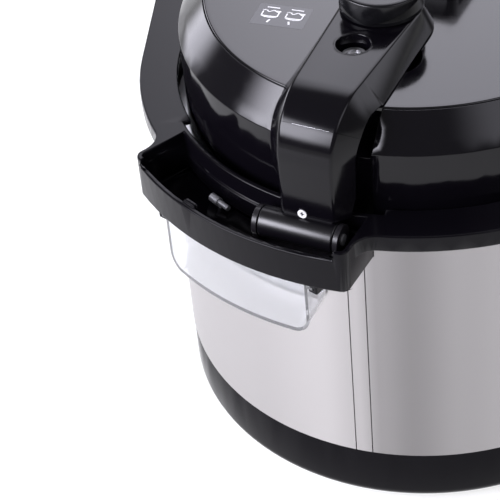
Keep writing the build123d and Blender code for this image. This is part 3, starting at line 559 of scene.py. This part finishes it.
WELL_HOLE_R, STEM_HOLE_R = 10.0, 8.7
THROUGH_ARM = (240, 280)  # from below to above the arm
cut(arm_top, plug(WELL_HOLE_R, *THROUGH_ARM, arm_point(FLOAT_AT)),
    plug(STEM_HOLE_R, *THROUGH_ARM, arm_point(KNOB_AT)))
wear(arm_top, "arm_plastic", "lid", "arm_cover")

# %% The well round the float valve
WELL_IN, WELL_OUT, WELL_LOW, WELL_TOP = 8.5, 10.05, 259.2, 271.1
well_outline = rounded([[WELL_IN, WELL_LOW], [WELL_OUT, WELL_LOW], [WELL_OUT, WELL_TOP],
                        [WELL_IN, WELL_TOP]], [0, 0, 0.5, 0.7], closed=True)
well = turned("float_valve_well", well_outline, 96, arm_point(FLOAT_AT))
wear(well, "arm_plastic", "lid")

# %% Lower moulding down to the hinge
t_start, t_down = FLAT + PART_LINE * CURVE + PART_GAP / 2, FLAT + CURVE
t_end = t_down + BEND_Z - UPRIGHT_END
t_up = np.concatenate([np.linspace(t_start, t_down, 24)[:-1], np.linspace(t_down, t_end, 40)])
up_right = arm_surface(*arm_rows(t_up, 1.0))
up_left = arm_surface(*arm_rows(t_up, -1.0))
up_grid = np.concatenate([up_left[:, ::-1], up_right[:, 1:]], axis=1)
rows, columns = up_grid.shape[:2]
upright = make_mesh("arm_upright", on_arm(up_grid).reshape(-1, 3),
                    grid_faces(rows, columns, False, True), crisp=40)
wear(upright, "arm_plastic", "lid", "hinge_arm")

# %% [markdown]
# ## The hinge barrel
#
# The upright stands on a barrel that turns about the hinge pin. Its smooth round back shows one
# broad highlight from end to end.

# %% Barrel and neck
HINGE_R, HINGE_Z, BARREL_R = 148.5, 201.0, 8.0
BARREL_ENDS, BORE_R = (-24.8, 15.4), 3.1


def along_hinge(name, outline, turns=96):
    """Carries a closed (radius, across) outline round the hinge axis."""
    angle = np.linspace(0, 2 * np.pi, turns, endpoint=False)[:, None]
    x = HINGE_R + outline[None, :, 0] * np.cos(angle)
    z = HINGE_Z + outline[None, :, 0] * np.sin(angle)
    y = np.broadcast_to(outline[None, :, 1], x.shape)
    points = on_arm(np.stack([x, y, z], axis=-1)).reshape(-1, 3)
    return make_mesh(name, points, grid_faces(turns, len(outline)))


y0, y1 = BARREL_ENDS
barrel = along_hinge("hinge_barrel", rounded(
    [[BORE_R, y0 + 0.3], [BARREL_R, y0 + 0.3], [BARREL_R, y1], [BORE_R, y1]],
    [0, 0.5, 0.9, 0], closed=True))
wear(barrel, "arm_plastic", "lid", look="barrel_plastic")
NECK_HALF, NECK_LOW, NECK_HIGH = 13.6, 204, 216
neck = bar("arm_neck", (FACE - 8.2, -NECK_HALF, NECK_LOW), (FACE - 0.4, NECK_HALF, NECK_HIGH),
           on_arm)
soften = neck.modifiers.new("rounding", "BEVEL")
soften.width = 0.8 * MM
soften.segments = 3
wear(neck, "arm_plastic", "lid")

# %% [markdown]
# ## The steam knob
#
# The knob is a round cap over a round foot. Its side wall is longer on one side, where its
# lower edge comes down to a point over the arm. The cap is a grid of turns and outline points
# whose lower edge has a height of its own at every turn.

# %% Knob cap and foot
KNOB_R, KNOB_TOP, KNOB_LOW, KNOB_HIGH = 22.3, 284.5, 272.3, 282.0
KNOB_WALL, KNOB_INSIDE = 1.8, 281.5
POINTER_AT, POINTER_HALF = np.radians(3.0), np.radians(85.0)
turns = np.linspace(0, 2 * np.pi, 240, endpoint=False)
off_pointer = np.abs((turns - POINTER_AT + np.pi) % (2 * np.pi) - np.pi)
lower_edge = KNOB_LOW + (KNOB_HIGH - KNOB_LOW) * np.clip(off_pointer / POINTER_HALF, 0, 1)
still, low = np.zeros_like(lower_edge), lower_edge
cap_corners = np.stack([
    np.stack([still, still + KNOB_TOP - 0.6], -1),
    np.stack([still + KNOB_R - 2.6, still + KNOB_TOP - 0.6], -1),
    np.stack([still + KNOB_R - 2.2, still + KNOB_TOP], -1),
    np.stack([still + KNOB_R, still + KNOB_TOP - 0.4], -1),
    np.stack([still + KNOB_R, low], -1),
    np.stack([still + KNOB_R - KNOB_WALL, low], -1),
    np.stack([still + KNOB_R - KNOB_WALL, still + KNOB_INSIDE], -1),
    np.stack([still, still + KNOB_INSIDE], -1)], axis=1)
cap_outline = rounded(cap_corners, [0, 0.4, 0.5, 1.4, 0.6, 0.4, 0.4, 0], steps=5)
cap_x = KNOB_AT + cap_outline[..., 0] * np.cos(turns)[:, None]
cap_y = cap_outline[..., 0] * np.sin(turns)[:, None]
cap_points = on_arm(np.stack([cap_x, cap_y, cap_outline[..., 1]], -1)).reshape(-1, 3)
cap = make_mesh("knob_cap", cap_points, grid_faces(len(turns), cap_outline.shape[1]))
wear(cap, "knob_plastic", "knob", "steam_knob")
foot_corners = [[STEM_HOLE_R, 271.5], [21.6, 271.5], [21.6, 273.8], [19, 280.5],
                [STEM_HOLE_R, 280.5]]
foot_outline = rounded(foot_corners, [0, 0.4, 0.6, 0, 0], closed=True)
foot = turned("knob_foot", foot_outline, 160, arm_point(KNOB_AT))
wear(foot, "knob_plastic", "knob")

# %% [markdown]
# ## The lid's top panel
#
# The panel is a shallow dome, so the soft light slides over it in one long gradient. It is a
# profile turned round the lid's axis: the dome, a rounded edge, and back below. The posts, the
# steam vent, the float valve and the opening beside the arm pass through it.

# %% Panel with its holes
PANEL_EDGE = 0.9          # rounding of the panel's rim
radii = np.linspace(0, DISC_R - PANEL_EDGE, 60)
edge_turn = np.linspace(0, np.pi / 2, 8)
dome_line = np.stack([radii, panel_height(radii)], -1)
edge_centre = panel_height(DISC_R - PANEL_EDGE) - PANEL_EDGE
edge_line = np.stack([DISC_R - PANEL_EDGE + PANEL_EDGE * np.sin(edge_turn),
                      edge_centre + PANEL_EDGE * np.cos(edge_turn)], -1)
under_line = np.array([[DISC_R, DISC_Z - 2.2], [DISC_R - 4, DISC_Z - 2.2], [0, DISC_Z - 0.6]])
panel = turned("lid_top_panel", np.concatenate([dome_line, edge_line, under_line]), 240)
THROUGH_PANEL = (240, 270)            # from below to above the panel
VENT_HOLE_R, FLOAT_HOLE_R = 14, 9
SIDE_HOLE_R, SIDE_HOLE_AT = 16, (71.0, 13.5)
POST_HOLE_R, POSTS_AT = 4.6, (35.4, 66.5, 99.6)
holes = [plug(VENT_HOLE_R, *THROUGH_PANEL, arm_point(KNOB_AT)),
         plug(FLOAT_HOLE_R, *THROUGH_PANEL, arm_point(FLOAT_AT)),
         plug(SIDE_HOLE_R, *THROUGH_PANEL, arm_point(*SIDE_HOLE_AT))]
holes += [plug(POST_HOLE_R, *THROUGH_PANEL, arm_point(along)) for along in POSTS_AT]
cut(panel, *holes)
wear(panel, "lid_plastic", "lid", "lid_disc")

# %% [markdown]
# ## The label on the lid
#
# A small clear label shows two pots with wavy tops and an arrow each, in white lines. The
# label is a thin film that follows the dome. Each line is a flat ribbon laid on it: the points
# of a stroke are moved half a line width to either side, along the stroke's normal.

# %% Film
LABEL_AT, LABEL_TURN, LABEL_SIZE = (37.0, 67.9), np.radians(200.0), (29.0, 18.6)


def on_label(points, lift):
    """Lays (right, up) points of the label on the domed panel, lift millimetres above it."""
    c, s = np.cos(LABEL_TURN), np.sin(LABEL_TURN)
    x = LABEL_AT[0] + points[..., 0] * c - points[..., 1] * s
    y = LABEL_AT[1] + points[..., 0] * s + points[..., 1] * c
    return np.stack([x, y, panel_height(np.hypot(x, y)) + lift], axis=-1)


across_label, up_label = np.meshgrid(np.linspace(-0.5, 0.5, 13) * LABEL_SIZE[0],
                                     np.linspace(-0.5, 0.5, 9) * LABEL_SIZE[1], indexing="ij")
FILM_LIFT, LINE_LIFT = 0.04, 0.08
film_points = on_label(np.stack([across_label, up_label], -1), FILM_LIFT).reshape(-1, 3)
film = make_mesh("label_film", film_points, grid_faces(13, 9, False, False), capped=False)
finish("label_film", (0.05, 0.05, 0.055), 0.25, grain=0.02)
wear(film, "lid_plastic", "lid", look="label_film")

# %% Line pictures
def ribbon(stroke, width=0.7):
    """The two edges of a stroke: its points moved along their normals by half the width."""
    stroke = np.asarray(stroke, float)
    run = np.gradient(stroke, axis=0)
    normal = np.stack([-run[:, 1], run[:, 0]], -1) / np.linalg.norm(run, axis=1)[:, None]
    return np.stack([stroke - normal * width / 2, stroke + normal * width / 2], axis=1)


wave = np.linspace(-1, 1, 25)
bow = np.linspace(0, np.pi, 17)
pot_strokes = [
    np.stack([4.9 * wave, 3.8 + 0.7 * np.sin(2 * np.pi * wave)], -1),
    np.stack([5.6 * wave[:7], 4.2 + 0 * wave[:7]], -1) + [0.6, 0],
    np.stack([5.6 * wave[-7:], 4.2 + 0 * wave[-7:]], -1) - [0.6, 0],
    np.stack([-4.4 + 0 * wave, -0.4 + 3.6 * (wave + 1) / 2], -1),
    np.stack([4.4 + 0 * wave, -0.4 + 3.6 * (wave + 1) / 2], -1),
    np.stack([-4.4 * np.cos(bow), -0.4 - 1.5 * np.sin(bow)], -1),
    np.stack([-4.4 * np.cos(bow), -0.4 - 0.5 * np.sin(bow)], -1),
]
arrow = np.stack([0.5 * wave, -5.0 + 1.3 * wave], -1)
bar_line = np.stack([3.4 * wave, 6.6 + 0 * wave], -1)
print_parts = []
for shift, lean in ((-6.4, 1.0), (6.8, -1.0)):
    for stroke in pot_strokes:
        print_parts.append(ribbon(stroke + [shift, -0.4]))
    print_parts.append(ribbon(arrow * [lean, 1] + [shift + lean, -0.4], 1.0))
    print_parts.append(ribbon(bar_line + [shift, 0], 0.8))
starts = np.cumsum([0] + [len(part) * 2 for part in print_parts[:-1]])
flat_points = np.concatenate([part.reshape(-1, 2) for part in print_parts])
print_points = on_label(flat_points, LINE_LIFT)
print_faces = np.concatenate([grid_faces(len(part), 2, False, False) + start
                              for part, start in zip(print_parts, starts)])
label_print = make_mesh("label_lines", print_points, print_faces, capped=False)
finish("label_white", (0.85, 0.85, 0.86), 0.5)
wear(label_print, "lid_plastic", "lid", look="label_white")

# %% [markdown]
# ## Floor, light and camera
#
# Black gloss has hardly any colour of its own: what shows is the room in it. A white table and
# large soft lights give it grey gradients, and lights that fade towards their edges leave no
# hard outlines in it. The camera looks down on the hinge from behind with a long lens.

# %% Floor
FLOOR_HALF, FLOOR_GLOW = 20000.0, 0.72
floor_points = FLOOR_HALF * np.array([[-1, -1, 0], [1, -1, 0], [1, 1, 0], [-1, 1, 0]])
floor = make_mesh("floor", floor_points, np.array([[0, 1, 2, 3]]), capped=False)
floor_finish = finish("floor_white", (0.36, 0.36, 0.36), 0.7, shine=0.0)
glow = floor_finish.node_tree.nodes["Principled BSDF"]
glow.inputs["Emission Color"].default_value = (1, 1, 1, 1)
glow.inputs["Emission Strength"].default_value = FLOOR_GLOW
floor.data.materials.append(floor_finish)

# %% Soft lights
def soft_light(name, place, target, size, power, height=None, fade=0.35):
    """An area light in metres and watts that faces its target and fades towards its edges.

    Across the light u runs from 0 to 1. Its strength is a smooth step from 0 at the edge to 1
    at the distance fade, on both sides and in both directions.
    """
    data = bpy.data.lights.new(name, "AREA")
    data.shape = "RECTANGLE"
    data.size = size
    data.size_y = height or size
    data.energy = power
    data.color = (0.90, 0.89, 1.0)
    data.use_nodes = True
    tree = data.node_tree
    emission = next(n for n in tree.nodes if n.type == "EMISSION")
    where = tree.nodes.new("ShaderNodeNewGeometry")
    apart = tree.nodes.new("ShaderNodeSeparateXYZ")
    tree.links.new(where.outputs["Parametric"], apart.inputs["Vector"])
    strength = None
    for axis in ("X", "Y"):
        for low, high in ((0.0, fade), (1.0, 1.0 - fade)):
            step = tree.nodes.new("ShaderNodeMapRange")
            step.interpolation_type = "SMOOTHSTEP"
            step.inputs["From Min"].default_value = low
            step.inputs["From Max"].default_value = high
            tree.links.new(apart.outputs[axis], step.inputs["Value"])
            if strength is None:
                strength = step.outputs["Result"]
            else:
                times = tree.nodes.new("ShaderNodeMath")
                times.operation = "MULTIPLY"
                tree.links.new(strength, times.inputs[0])
                tree.links.new(step.outputs["Result"], times.inputs[1])
                strength = times.outputs["Value"]
    tree.links.new(strength, emission.inputs["Strength"])
    lamp = bpy.data.objects.new(name, data)
    bpy.context.scene.collection.objects.link(lamp)
    lamp.location = place
    lamp.rotation_euler = (Vector(target) - Vector(place)).to_track_quat("-Z", "Y").to_euler()
    return lamp


soft_light("overhead", (0.60, -1.30, 1.50), (0.02, 0, 0.25), 2.9, 75, height=2.2)
soft_light("hinge_side", (0.55, 1.46, 0.98), (0, 0.1, 0.2), 2.0, 125, height=1.1)
soft_light("left_side", (1.60, 0.00, 0.36), (0, 0, 0.22), 1.1, 15, height=0.66)
soft_light("right_high", (-1.26, 0.04, 1.30), (0, 0, 0.25), 1.8, 14, height=1.0)
soft_light("right_low", (-0.95, -1.35, 0.70), (0, 0, 0.22), 1.6, 12, height=1.0)
ROOM_LIGHT = 0.22
world = bpy.data.worlds.new("room")
world.use_nodes = True
world.node_tree.nodes["Background"].inputs["Color"].default_value = (1, 1, 1, 1)
world.node_tree.nodes["Background"].inputs["Strength"].default_value = ROOM_LIGHT
bpy.context.scene.world = world
bpy.context.scene.view_settings.view_transform = "Standard"

# %% Camera
LENS_MM, SENSOR_MM = 129.6, 36.0
CAMERA_AT = Vector((-0.4841, 0.6495, 0.7767))
LOOK = Vector((0.52444, -0.54418, -0.65486)).normalized()
ROLL = np.radians(-5.808)
level_right = LOOK.cross(Vector((0, 0, 1))).normalized()
level_up = level_right.cross(LOOK)
right = level_right * np.cos(ROLL) + level_up * np.sin(ROLL)
up = right.cross(LOOK)
camera = bpy.data.objects.new("camera", bpy.data.cameras.new("camera"))
camera.data.lens = LENS_MM
camera.data.sensor_width = SENSOR_MM
bpy.context.scene.collection.objects.link(camera)
turned_to_look = Matrix((right, up, -LOOK)).transposed().to_4x4()
camera.matrix_world = Matrix.Translation(CAMERA_AT) @ turned_to_look
bpy.context.scene.camera = camera
print("camera at", tuple(round(v, 3) for v in CAMERA_AT))
